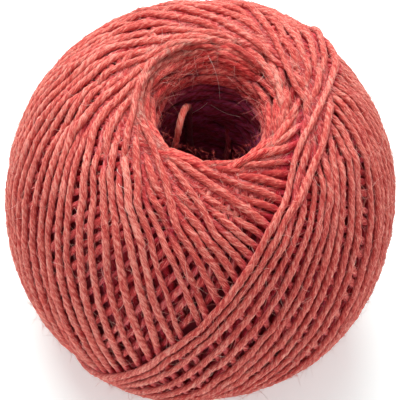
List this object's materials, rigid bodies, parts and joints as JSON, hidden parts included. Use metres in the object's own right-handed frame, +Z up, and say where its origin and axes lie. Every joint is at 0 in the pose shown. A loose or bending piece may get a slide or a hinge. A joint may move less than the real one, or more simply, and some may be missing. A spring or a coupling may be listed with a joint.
{
  "type": "ball of twine",
  "caption": "Ball of red jute twine, wound round a hole that runs through it end to end, with the loose inner end standing in the hole. It stands on its end.",
  "frame": {"origin": "centre of the flat spot on which the ball stands, on the axis of its hole", "axes": "+Z up along the hole's axis; the last turns cross the front, at -Y, from the lower left to the upper right of the hole, at +X"},
  "size_m": [0.0848, 0.0864, 0.071],
  "materials": {
    "jute_winding": "dyed jute twine, matt and hairy, coral red",
    "jute_pull_end": "the same dyed jute twine, as a single loose strand"
  },
  "bodies": {
    "root": {"twine_ball": "jute_winding", "pull_end": "jute_pull_end"}
  },
  "joints": []
}
